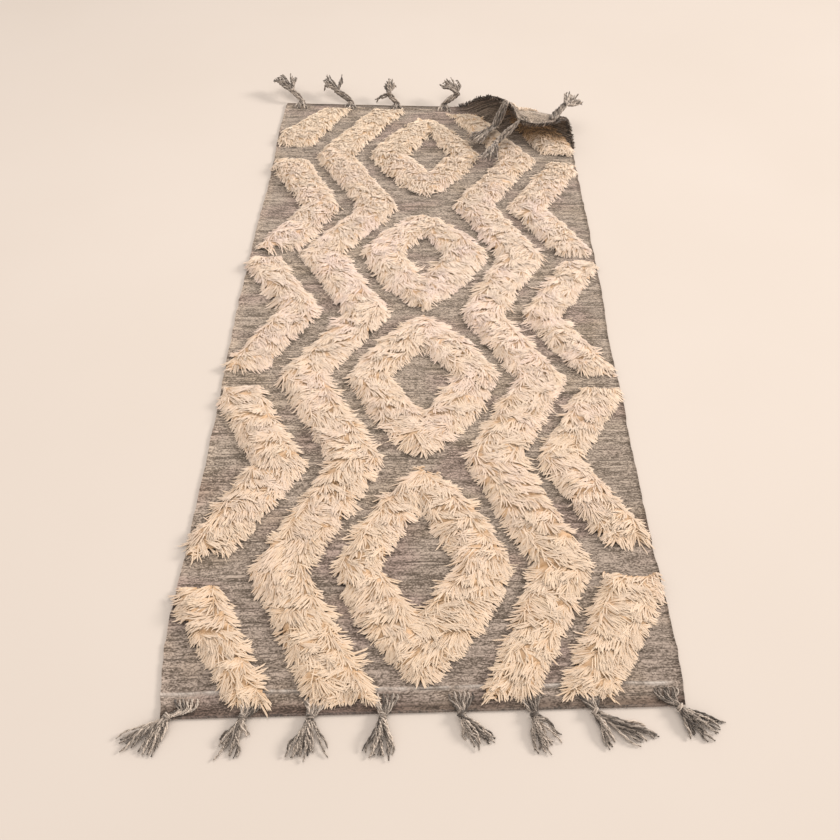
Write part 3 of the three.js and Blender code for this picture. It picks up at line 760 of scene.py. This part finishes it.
def loftLocks(field, rng, lockSet, form, seed):
    # Tapered closed locks: each leaves its root, rises to the crown of the pile and lies over to its tip
    k = knots
    steps, widths, angles = form
    shape, _, hasBare = field
    u, v, dx, dy, length = (lockSet[key] for key in ("u", "v", "dx", "dy", "length"))
    n, m, c = len(u), len(steps) - 1, len(angles)
    rootDistance, edge = shape(u, v)[:2]
    tipDistance = shape(u + dx * length, v + dy * length)[0]
    # Locks over an edge hang together in tufts, and hardly reach into the bare middle of a diamond
    tuft = 0.5 + 0.5 * softNoise(u / 8.0, v / 8.0, seed + 8)
    furthest = np.where(hasBare & (edge < 0), k["innerOverhang"], k["overhang"])
    overhang = 0.5 + furthest * (0.35 * rng.random(n) ** 2 + 0.65 * tuft ** 2)
    allowed = (np.maximum(rootDistance, 0) + overhang) / np.maximum(rootDistance - tipDistance, 1e-6)
    held = np.maximum(length * np.minimum(allowed, 1), k["shortest"])
    length = np.where(tipDistance < -overhang, held, length)
    shared, own = k["wave"]
    wave = shared * softNoise(u / 13.0, v / 13.0, seed + 14) + rng.normal(0, own, n)
    rings = []
    for t in steps:
        forth = length * t ** 1.1
        aside = lockSet["bend"] * length * t * t + wave * math.sin(4.5 * t)
        pu, pv = u + dx * forth - dy * aside, v + dy * forth + dx * aside
        rise = (1 - math.exp(-6.0 * t)) * (0.93 + 0.07 * t)
        high = pileHeight(shape(pu, pv)[0]) + lumpsAt(pu, pv, seed)
        high = high + lockSet["lift"] + lockSet["tilt"] * (2 * t - 1.2)
        lowest = np.where(np.abs(pu) > rugShape["halfWidth"], 1.2, clothTop(pv) + 0.8)
        rings.append((pu, pv, np.maximum(rugShape["thickness"] + rise * high, lowest)))
    centre = np.stack([layCloth(*ring) for ring in rings], 1)
    tangent = np.empty_like(centre)
    tangent[:, 1:-1] = centre[:, 2:] - centre[:, :-2]
    tangent[:, 0], tangent[:, -1] = centre[:, 1] - centre[:, 0], centre[:, -1] - centre[:, -2]
    tangent /= np.linalg.norm(tangent, axis=2, keepdims=True)
    # The flat of each lock faces away from the cloth under it
    outward = layCloth(u, v, 9.0) - layCloth(u, v, 1.0)
    outward = (outward / np.linalg.norm(outward, axis=1, keepdims=True))[:, None, :]
    side = np.cross(tangent, outward)
    side /= np.maximum(np.linalg.norm(side, axis=2, keepdims=True), 1e-6)
    up = np.cross(side, tangent)
    roll = lockSet["roll"][:, None, None]
    side, up = side * np.cos(roll) + up * np.sin(roll), up * np.cos(roll) - side * np.sin(roll)
    size = (0.75 + 0.5 * rng.random(n))[:, None]
    wide = lockSet["width"] * size * np.array(widths)[None, :]
    deep = lockSet["thick"] * size * np.array(widths)[None, :] ** 0.7
    # Wool scatters light softly, so a lock shades more like the pile's surface than like a rod
    soft = up * 0.6 + outward * 0.4
    corners, laid, facing = [], [], []
    offset = rng.random(n)[:, None] * 400
    reached = offset + length[:, None] * np.array(steps[:m])
    for a in angles:
        cos, sin = math.cos(a), math.sin(a)
        around = cos * side[:, :m] + sin * up[:, :m]
        facing.append(around * k["roundShade"] + soft[:, :m] * (sin > -0.7))
        corners.append(centre[:, :m] + cos * side[:, :m] * wide[..., None] + sin * up[:, :m] * deep[..., None])
        laid.append(np.stack([offset + cos * wide + sin * 0.5 * deep, reached], -1))
    normals = np.concatenate([np.stack(facing, 2).reshape(n, m * c, 3), soft[:, m:]], 1).reshape(-1, 3)
    normals /= np.linalg.norm(normals, axis=1, keepdims=True)
    points = np.concatenate([np.stack(corners, 2).reshape(n, m * c, 3), centre[:, m:]], 1).reshape(-1, 3)
    tipLaid = np.stack([offset[:, 0], offset[:, 0] + length], -1)[:, None]
    laid = np.concatenate([np.stack(laid, 2).reshape(n, m * c, 2), tipLaid], 1).reshape(-1, 2)
    base = (np.arange(n) * (m * c + 1))[:, None, None]
    ring = np.array([[c * r + i, c * (r + 1) + i, c * (r + 1) + (i + 1) % c, c * r + (i + 1) % c]
                     for r in range(m - 1) for i in range(c)])
    tips = np.array([[c * (m - 1) + (i + 1) % c, c * (m - 1) + i, m * c] for i in range(c)])
    # The sides of a lock are in the warm shade between the locks
    cover = np.tile(np.where(np.sin(angles) > 0, 1.0, k["sideShade"]), m)
    # Painted shade: values fall towards the root, on the sides, in furrows and inside the curl
    reach = np.concatenate([np.repeat(steps[:m], c) * cover, [1.0]])[None, :] * lockSet["shade"][:, None]
    reach = reach - lockSet["deep"][:, None]
    return {"points": points, "quads": (base + ring).reshape(-1, 4), "triangles": (base + tips).reshape(-1, 3),
            "laid": laid, "reach": reach.ravel(), "tone": np.repeat(lockSet["tone"], m * c + 1), "normals": normals}


def bedOf(field, seed):
    # The matted wool under a field's loose locks, on a grid cut to its outline
    k = knots
    shape, (lowAcross, highAcross, lowAlong, highAlong), _ = field
    pitch = k["bedPitch"]
    us = np.arange(lowAcross - pitch, highAcross + 2 * pitch, pitch)
    vs = np.arange(lowAlong - pitch, highAlong + 2 * pitch, pitch)
    u, v = np.meshgrid(us, vs)
    distance = shape(u, v)[0]
    _, furrow, strength, place = tuftRowsAt(u, v, seed)
    rise = k["rowRise"] * strength * (0.5 - place) * 2.0
    share = k["bedShare"] * np.clip(distance / 7.0, 0, 1) ** 0.5
    height = rugShape["thickness"] + 0.3 + share * pileHeight(distance - 2.0)
    uneven = lumpsAt(u, v, seed) + 0.7 * rise + 0.7 * softNoise(u / 7.0, v / 4.6, 77)
    height += uneven * np.clip(distance / 10.0, 0, 1)
    height -= k["furrowDepth"] * furrow * (distance > 8)
    height = np.maximum(height, clothTop(v) + 0.4)
    inside = distance > 3.0
    cell = inside[:-1, :-1] & inside[1:, :-1] & inside[:-1, 1:] & inside[1:, 1:]
    number = np.full(u.shape, -1)
    used = np.zeros(u.shape, bool)
    for a, b in ((0, 0), (0, 1), (1, 0), (1, 1)):
        used[a:a + cell.shape[0], b:b + cell.shape[1]] |= cell
    number[used] = np.arange(used.sum())
    quads = np.stack([number[:-1, :-1], number[:-1, 1:], number[1:, 1:], number[1:, :-1]], -1)[cell]
    # Painted shade: the bed is coloured darker, more so in furrows, near the field's edge and inside the curl
    reach = 0.17 - 0.13 * furrow - 0.08 * np.clip(1 - distance / 9.0, 0, 1)
    reach = reach - k["curlPaintedShade"] * inCurl(u, v, 5.0, 50.0)
    return {"points": layCloth(u[used], v[used], height[used]), "quads": quads, "triangles": np.empty((0, 3), int),
            "laid": np.stack([v[used], u[used]], -1), "reach": reach[used], "tone": np.full(used.sum(), 0.5),
            "normals": np.zeros((used.sum(), 3))}


def undersideLoops(field, rng, area):
    # Ends of the knots that stand out of the cloth's underside where it is turned over
    k = knots
    shape, (lowAcross, highAcross, lowAlong, highAlong), _ = field
    n = int(area * k["undersideLoops"] * 4)
    u, v = rng.uniform(lowAcross, highAcross, n), rng.uniform(highAlong - 190, highAlong, n)
    keep = (shape(u, v)[0] > 3.0) & (layCloth(u, v, 0.0)[:, 2] > 20.0)
    u, v = u[keep], v[keep]
    n = len(u)
    tall = rng.uniform(*k["loopHeight"], n)
    heights = (0.5, -tall, -0.7 * tall)
    angle, reach = rng.uniform(0, 2 * math.pi, n), rng.uniform(*k["loopReach"], n)
    points, quads, triangles = yarnEnds(u, v, angle, reach, heights)
    return {"points": points, "quads": quads, "triangles": triangles, "laid": np.zeros((9 * n, 2)),
            "reach": np.full(9 * n, 0.5), "tone": np.repeat(rng.random(n), 9), "normals": np.zeros((9 * n, 3))}


def joinMeshes(parts):
    start, joined = 0, {key: [] for key in parts[0]}
    for part in parts:
        for key in joined:
            joined[key].append(part[key] + start if key in ("quads", "triangles") else part[key])
        start += len(part["points"])
    return {key: np.concatenate(values) for key, values in joined.items()}


def buildPile(name, field, seed, material):
    shape, (lowAcross, highAcross, lowAlong, highAlong), _ = field
    k, rng = knots, np.random.default_rng(seed)
    us = np.arange(lowAcross, highAcross + 2, k["acrossPitch"])
    vs = np.arange(lowAlong, highAlong + 4, k["alongPitch"])
    u, v = np.meshgrid(us, vs)
    u[1::2] += 0.5 * k["acrossPitch"]
    strayAcross, strayAlong = k["rootStray"]
    u, v = u.ravel() + rng.normal(0, strayAcross, u.size), v.ravel() + rng.normal(0, strayAlong, v.size)

    def lay(u, v, stray, lift, width, thick):
        # Each lock is placed by its middle. Along the edges locks lie outwards; inside, each row of tufts
        # is combed to one side or the other
        row, furrow, strength, place = tuftRowsAt(u, v, seed)
        distance, edge, nx, ny = shape(u, v)
        # The locks of a row gather about its middle, so that their tips end together over the next row
        fade, fadeFrom, fadeOver = k["rowFade"]
        strength = strength * np.clip(distance / 14.0, 0, 1) * (1 - fade * np.clip((v - fadeFrom) / fadeOver, 0, 1))
        v = v - k["rowGather"] * strength * (place - 0.5) * k["tuftPitch"]
        keep = np.minimum(distance, shape(u, v)[0]) > 0.5
        u, v, row, furrow, strength, edge, nx, ny = (a[keep] for a in (u, v, row, furrow, strength, edge, nx, ny))
        flareFrom, flareOver = k["flareFrom"]
        outwards = np.clip((np.abs(edge) - flareFrom) / flareOver, 0, 1)
        outwards = outwards * outwards * (3 - 2 * outwards) * np.sign(edge)
        wander, contrast, wide = k["wander"]
        combed = np.clip(contrast * softNoise(u / wide, row * 1.7, seed + 1), -1, 1)
        dx = k["flareAcross"] * outwards * np.sign(nx) * np.abs(nx) ** 0.5 + wander * (1 - np.abs(outwards)) * combed
        swirl, wide, long = k["swirl"]
        dx += swirl * softNoise(u / wide, v / long, seed + 2)
        dy = k["flareAlong"] * outwards * ny - k["lean"]
        n = len(u)
        (turn, bend, high, tone), aside, ahead = tuftsAt(u, v, seed)
        roughFrom, roughOver = k["roughFrom"]
        far = np.clip((v - roughFrom) / roughOver, 0, 1)
        rough = 1 + k["farRoughness"] * far
        angle = np.arctan2(dy, dx * (1 - 0.5 * far)) + k["tuftTurn"] * turn + rng.normal(0, stray, n) * rough
        whole = k["lockLength"] * (0.7 + 0.5 * rng.random(n)) / (1 + k["farShorter"] * (rough - 1))
        back = 0.5 * whole
        # A tuft closes towards its tip
        dx, dy = np.cos(angle) * back - k["tuftClose"] * aside, np.sin(angle) * back - k["tuftClose"] * ahead
        dx, dy = dx / np.hypot(dx, dy), dy / np.hypot(dx, dy)
        for _ in range(4):
            back = np.where(shape(u - dx * back, v - dy * back)[0] < 2.0, 0.6 * back, back)
        return {
            "u": u - dx * back, "v": v - dy * back, "dx": dx, "dy": dy, "length": back + 0.5 * whole,
            "lift": lift + rng.normal(0, k["liftStray"], n) * rough ** 1.3 + k["tuftLift"] * high,
            "tilt": k["rowTilt"] * strength,
            "bend": k["tuftBend"] * bend + rng.normal(0, k["bendStray"], n),
            "roll": rng.normal(0, k["rollStray"], n),
            "tone": np.clip(0.5 + k["tuftTone"] * tone + rng.normal(0, k["toneStray"], n), 0, 1),
            # Painted shade in the furrows and inside the curl
            "shade": 1 - 0.4 * furrow,
            "deep": k["curlPaintedShade"] * inCurl(u, v, 5.0, 50.0),
            "width": width, "thick": thick,
        }

    locks = lay(u, v, k["stray"], 0.0, k["lockWidth"] / 2, k["lockThickness"] / 2)
    parts = [loftLocks(field, rng, locks, k["lockForm"], seed)]
    # Single strands lie over the locks
    pick = rng.integers(0, len(u), int(len(u) * k["strandsPerLock"]))
    strayAcross, strayAlong = k["strandStray"]
    strands = lay(u[pick] + rng.normal(0, strayAcross, len(pick)), v[pick] + rng.normal(0, strayAlong, len(pick)),
                  1.5 * k["stray"], k["strandLift"], k["strandRadius"], k["strandRadius"])
    parts += [loftLocks(field, rng, strands, k["strandForm"], seed), bedOf(field, seed)]
    lifted = layCloth(us[None, :], vs[:, None], 0.0)[..., 2] > 12.0
    if lifted.any():
        parts.append(undersideLoops(field, rng, lifted.sum() * k["acrossPitch"] * k["alongPitch"]))
    j = joinMeshes(parts)
    meshPiece(name.replace("_", "-"), j["points"], j["quads"], j["triangles"], material, name,
              {"lockReachAndShade": j["reach"], "lockTone": j["tone"]}, j["laid"], j["normals"])


# Tassels, in millimetres: root on the cloth's end, knot, the bundles of strands that fan out from it
# (the line of their tips, and how many), and what the tassel has of its own

nearTassels = [
    (-314, (-325, -761, 8), [([(-390, -784), (-372, -800), (-343, -811), (-327, -797)], 15)], {}),
    (-223, (-227, -761, 8),
     [([(-259, -789), (-252, -802), (-241, -811), (-225, -805)], 13), ([(-216, -790), (-212, -787)], 2)], {}),
    (-136, (-140, -760, 8),
     [([(-167, -807), (-155, -811), (-144, -810), (-131, -804)], 13), ([(-118, -800), (-114, -797)], 2)], {}),
    (-44, (-46, -757, 8), [([(-73, -804), (-56, -808), (-39, -809), (-29, -801)], 15)], {}),
    (56, (56, -754, 8), [([(62, -790), (76, -793), (90, -791), (102, -782)], 14)], {}),
    (147, (150, -754, 8), [([(144, -798), (158, -802), (171, -799), (191, -783)], 15)], {}),
    (226, (230, -749, 8),
     [([(240, -796), (246, -793), (253, -789)], 8), ([(287, -790), (293, -781), (312, -779), (293, -769)], 12)], {}),
    (328, (341, -743, 8), [([(351, -786), (372, -780), (391, -768), (394, -758)], 15)], {}),
]
farTassels = [
    (-312, (-333, 784, 26),
     [([(-386, 818, 30), (-378, 830, 34), (-362, 846, 38)], 11), ([(-340, 838, 36), (-328, 842, 32)], 5)], {}),
    (-186, (-220, 780, 26),
     [([(-260, 812, 26), (-258, 826, 34), (-246, 846, 38)], 11), ([(-216, 834, 36), (-208, 838, 32)], 4)], {}),
    (-70, (-88, 768, 27),
     [([(-104, 798, 32), (-94, 812, 40), (-82, 818, 42), (-70, 800, 32)], 12),
      ([(-128, 776, 12), (-124, 768, 6)], 2)], {}),
    (50, (82, 760, 32), [([(34, 784, 34), (46, 800, 42), (66, 806, 44), (88, 796, 40)], 17)], {"lowest": 40.0}),
    (192, (167, 606, 34), [([(104, 574, 26), (108, 556, 26), (126, 542, 26)], 15)],
     {"rootWidth": 18.0, "cords": 7, "lowest": 21.0}),
    (230, (167, 538, 34), [([(122, 484, 26), (144, 474, 27), (168, 482, 26)], 16)],
     {"rootWidth": 18.0, "cords": 7, "lowest": 21.0}),
    (336, (326, 616, 84), [([(336, 694, 76), (362, 676, 74), (384, 650, 68)], 17)],
     {"rootWidth": 16.0, "underside": True, "lowest": 40.0}),
]
tasselYarn = {
    "rootWidth": 30.0,
    "rootPlaces": ((25, 0.0), (18, 0.0), (9, 0.35), (1, 0.55)),  # distance from the end, share of the gathering
    "gathered": 0.9,
    "overCloth": 1.7,
    "inCloth": 2.0,
    # the near end, then the far end
    "cords": (6, 5),
    "thicker": (1.0, 1.35),
    "legWidth": (4.0, 13.0),
    "shade": ((0.48, 0.32), (0.38, 0.2)),
    "heights": (((2.0, 1.5), (2.2, 5.0), (3.0, 8.0)), ((0, 5), (1, 3), (2, 2.5))),  # of tip, last bend and middle
    "lowest": 2.0,
    "cordRadius": 2.15,
    "cordTaper": 0.95,
    "strandRadius": 2.2,
    "strandTaper": 0.5,
    "strandBends": ((0.45, 2.4), (0.8, 2.0)),  # share of the way to the tip, stray
    "tipReach": (-4, 4.5),
    "tipStray": 1.5,
    "plyPitch": 20.0,
    "plyPlace": 0.5,
    "plyRadius": 0.64,
    "stepsAlong": 15,
    "knotRadius": 4.6,
    "knotTurns": 2,
    "knotLength": 5.0,
    "knotCord": 1.8,
    "knotSteps": 30,
}


def smoothPath(points, count):
    # Evenly spread points on a smooth curve through these
    p = np.asarray(points, float)
    ends = np.concatenate([[2 * p[0] - p[1]], p, [2 * p[-1] - p[-2]]])
    place = np.linspace(0, len(p) - 1 - 1e-9, count * 4)
    i, f = place.astype(int), (place % 1)[:, None]
    a, b, c, d = (ends[i + n] for n in range(4))
    fine = 0.5 * (2 * b + (c - a) * f + (2 * a - 5 * b + 4 * c - d) * f ** 2 + (3 * b - a - 3 * c + d) * f ** 3)
    run = np.concatenate([[0], np.cumsum(np.linalg.norm(np.diff(fine, axis=0), axis=1))])
    even = np.linspace(0, run[-1], count)
    return np.stack([np.interp(even, run, fine[:, n]) for n in range(3)], -1), run[-1]


def pliedYarn(points, radius, store, rng, taper, steps):
    # Two plies twisted round each other along a path
    y = tasselYarn
    phase, shade = rng.uniform(0, 6.28), np.clip(rng.normal(*store["shade"]), 0.0, 1.0)
    path, length = smoothPath(points, steps)
    tangent = np.gradient(path, axis=0)
    tangent /= np.linalg.norm(tangent, axis=1, keepdims=True)
    side = np.cross(tangent, [0.13, 0.07, 1.0])
    side /= np.linalg.norm(side, axis=1, keepdims=True)
    up = np.cross(side, tangent)
    along = np.linspace(0, 1, steps)
    thick = radius * (1 - (1 - taper) * along ** 4)
    twist = phase + 2 * math.pi * along * length / y["plyPitch"]
    i = np.arange(steps - 1)
    for ply in (0, 1):
        turn = (twist + math.pi * ply)[:, None]
        middle = path + (np.cos(turn) * side + np.sin(turn) * up) * (y["plyPlace"] * thick)[:, None]
        start = store["count"]
        for corner in range(4):
            a = 0.5 * math.pi * corner + turn
            around = (np.cos(a) * side + np.sin(a) * up) * (y["plyRadius"] * thick)[:, None]
            store["points"].append(middle + around)
        for corner in range(4):
            a, b = start + corner * steps, start + (corner + 1) % 4 * steps
            store["quads"].append(np.stack([a + i, a + i + 1, b + i + 1, b + i], -1))
        first = [start + corner * steps for corner in range(4)]
        last = [place + steps - 1 for place in first]
        store["quads"].append(np.array([first, last[::-1]]))
        store["tone"].append(np.full(4 * steps, shade + 0.3 * (ply - 0.5)))
        store["count"] += 4 * steps


def buildTassel(name, row, end, seed, material):
    across, knotPlace, bundles, own = row
    far, rng = int(end > 0), np.random.default_rng(seed)
    y = {**tasselYarn, **own}
    under, thicker = "underside" in own, y["thicker"][far]
    cords = own.get("cords", tasselYarn["cords"][far])
    store = {"points": [], "quads": [], "tone": [], "count": 0, "shade": y["shade"][far]}
    knot = np.array(knotPlace, float)
    for i in range(cords):
        start = across + y["rootWidth"] * (i / (cords - 1) - 0.5) + rng.normal(0, 1)
        gather = (across - start) * y["gathered"]
        path = []
        inset = rng.uniform(-2.5, 1.5)
        for n, (fromEnd, slant) in enumerate(y["rootPlaces"][:3 + far]):
            along = end * (rugShape["halfLength"] - (fromEnd + inset if n < 2 else fromEnd))
            over = float(clothTop(along)) + (y["overCloth"] if n else -y["inCloth"])
            path.append(layCloth(start + gather * slant, along, -y["overCloth"] if under else over))
        if under:
            path = path[:3][::-1]
        if far:
            leave = path[-1] - path[-2]
            path.append(path[-1] + leave / np.linalg.norm(leave) * 7.0 + np.array([0, 0, 3.0]))
        abreast = np.array([(i / (cords - 1) - 0.5) * y["legWidth"][far], 0, 0])
        into = knot + abreast + rng.normal(0, 0.8, 3) * [1, 1, 0.6]
        path += [0.5 * (path[-1] + into) + rng.normal(0, 2.2, 3), into] if far else [into]
        pliedYarn(path, y["cordRadius"] * thicker, store, rng, y["cordTaper"], y["stepsAlong"])
    heading = np.zeros(3)
    for tips, strands in bundles:
        heading[:2] += (np.mean([tip[:2] for tip in tips], axis=0) - knot[:2]) * strands
    heading /= np.linalg.norm(heading)
    sideways = np.cross(heading, [0.0, 0.0, 1.0])
    # The knot: turns of one cord round the gathered ones
    turns, r, whole = [], y["knotRadius"], 2 * math.pi * y["knotTurns"]
    for a in np.linspace(-0.5, whole + 0.5, 9 * y["knotTurns"]):
        shift = (a / whole - 0.5) * y["knotLength"]
        turns.append(knot + heading * shift + sideways * r * math.cos(a) + np.array([0, 0, (r - 0.8) * math.sin(a)]))
    pliedYarn(turns, y["knotCord"], store, rng, y["cordTaper"], y["knotSteps"])
    for tips, strands in bundles:
        line = np.array([[*tip, 2.0][:3] for tip in tips], float)
        for i in range(strands):
            # The strands of a tassel stay together until the last third
            share = np.clip((i + rng.uniform(-0.3, 0.3)) / (strands - 1), 0, 1) * (len(line) - 1)
            first = min(int(share), len(line) - 2)
            tip = line[first] + (line[first + 1] - line[first]) * (share - first)
            out = (tip - knot) * [1, 1, 0]
            out /= np.linalg.norm(out)
            aside = np.cross(out, [0.0, 0.0, 1.0])
            tip = tip + out * rng.normal(*y["tipReach"]) + aside * rng.normal(0, y["tipStray"])
            middle, late = (knot + (tip - knot) * part + aside * rng.normal(0, stray)
                            for part, stray in y["strandBends"])
            layer = 0.0 if far else rng.uniform(0, 1)
            for place, (high, varied) in zip((tip, late, middle), y["heights"][far]):
                place[2] = max(place[2] + rng.normal(high, varied) if far else high + varied * layer, y["lowest"])
            start = knot + rng.normal(0, 1.8, 3) * [1, 1, 0.7]
            pliedYarn([start, middle, late, tip], y["strandRadius"] * thicker * rng.uniform(0.85, 1.15), store, rng,
                      y["strandTaper"], y["stepsAlong"])
    meshPiece(name.replace("_", "-"), np.concatenate(store["points"]), np.concatenate(store["quads"]), [], material,
              name, {"plyTone": np.concatenate(store["tone"])})


# Floor, light and camera

studio = {
    "floorHalf": 12.0,
    "floorFinish": {"roughness": 0.95, "sheen": 0.0},
    "floorColour": (0.59, 0.518, 0.463, 1),
    "floorCloud": (0.97, 0.965, 0.955),
    "worldColour": (1.0, 0.97, 0.94, 1),
    "worldStrength": 0.86,
    "topPlace": (-0.1, 0.15, 2.5),
    "topPower": 24.0,
    "topSize": 1.8,
    "keyPlace": (10.0, 2.5, 5.0),
    "keyPower": 1190.0,
    "keySize": 2.8,
    "lightColour": (1.0, 0.96, 0.91),
    "cameraPlace": (0.00482, -1.08646, 1.02796),
    "cameraPitch": 51.178,
    "cameraYaw": 0.4927,
    "focal": 33.214,
    "sensorWidth": 36.0,
}


def buildStudio():
    s = studio
    floor = bpy.data.objects.new("floor", bpy.data.meshes.new("floor"))
    corners = [(x * s["floorHalf"], y * s["floorHalf"], 0) for x, y in ((-1, -1), (1, -1), (1, 1), (-1, 1))]
    floor.data.from_pydata(corners, [], [(0, 1, 2, 3)])
    bpy.context.scene.collection.objects.link(floor)
    material, tree, shader = plainMaterial("paleFloor", s["floorFinish"])
    cloud = noiseNode(tree, addNode(tree, "TexCoord")["Object"], 1.6, 3.0)
    clouded = [part * share for part, share in zip(s["floorColour"], s["floorCloud"])] + [1]
    tone = mixColour(tree, steeper(tree, cloud, 0.3, 0.7), clouded, s["floorColour"])
    tree.links.new(tone, shader.inputs["Base Color"])
    floor.data.materials.append(material)
    world = bpy.data.worlds.new("studio")
    bpy.context.scene.world = world
    world.use_nodes = True
    world.node_tree.nodes["Background"].inputs[0].default_value = s["worldColour"]
    world.node_tree.nodes["Background"].inputs[1].default_value = s["worldStrength"]
    for name in ("key", "top"):
        light = bpy.data.lights.new(name, "AREA")
        light.energy, light.size, light.color = s[name + "Power"], s[name + "Size"], s["lightColour"]
        lamp = bpy.data.objects.new(name, light)
        lamp.location = s[name + "Place"]
        aim = -np.array(s[name + "Place"])
        lamp.rotation_euler = (math.atan2(math.hypot(aim[0], aim[1]), -aim[2]), 0, math.atan2(-aim[0], aim[1]))
        bpy.context.scene.collection.objects.link(lamp)
    camera = bpy.data.objects.new("camera", bpy.data.cameras.new("camera"))
    camera.data.lens = s["focal"]
    camera.data.sensor_width = s["sensorWidth"]
    camera.location = s["cameraPlace"]
    camera.rotation_euler = (math.radians(90 - s["cameraPitch"]), 0, math.radians(s["cameraYaw"]))
    bpy.context.scene.collection.objects.link(camera)
    bpy.context.scene.camera = camera
    bpy.context.scene.view_settings.view_transform = "Standard"


buildStudio()
print("studio ready")
fields = {row[0]: diamondField(row) for row in diamonds}
fields.update({name: zigzagField(turns) for name, turns in zigzags.items()})
fields.update({row[0]: sideField(row) for row in sideFields})
buildGround()
print("ground cloth ready,", triangleCount["groundCloth"], "triangles")
woolPile = pileMaterial()
for number, (name, field) in enumerate(fields.items()):
    buildPile(name, field, 100 + 10 * number, woolPile)
print("pile ready,", sum(triangleCount.values()), "triangles so far")
yarn = tasselMaterial()
for number, row in enumerate(nearTassels):
    buildTassel(f"tassel_near_{number + 1}", row, -1, 500 + number, yarn)
for number, row in enumerate(farTassels):
    buildTassel(f"tassel_far_{number + 1}", row, 1, 600 + number, yarn)
print("tassels ready,", sum(triangleCount.values()), "triangles in all,", max(triangleCount.values()), "in one piece")
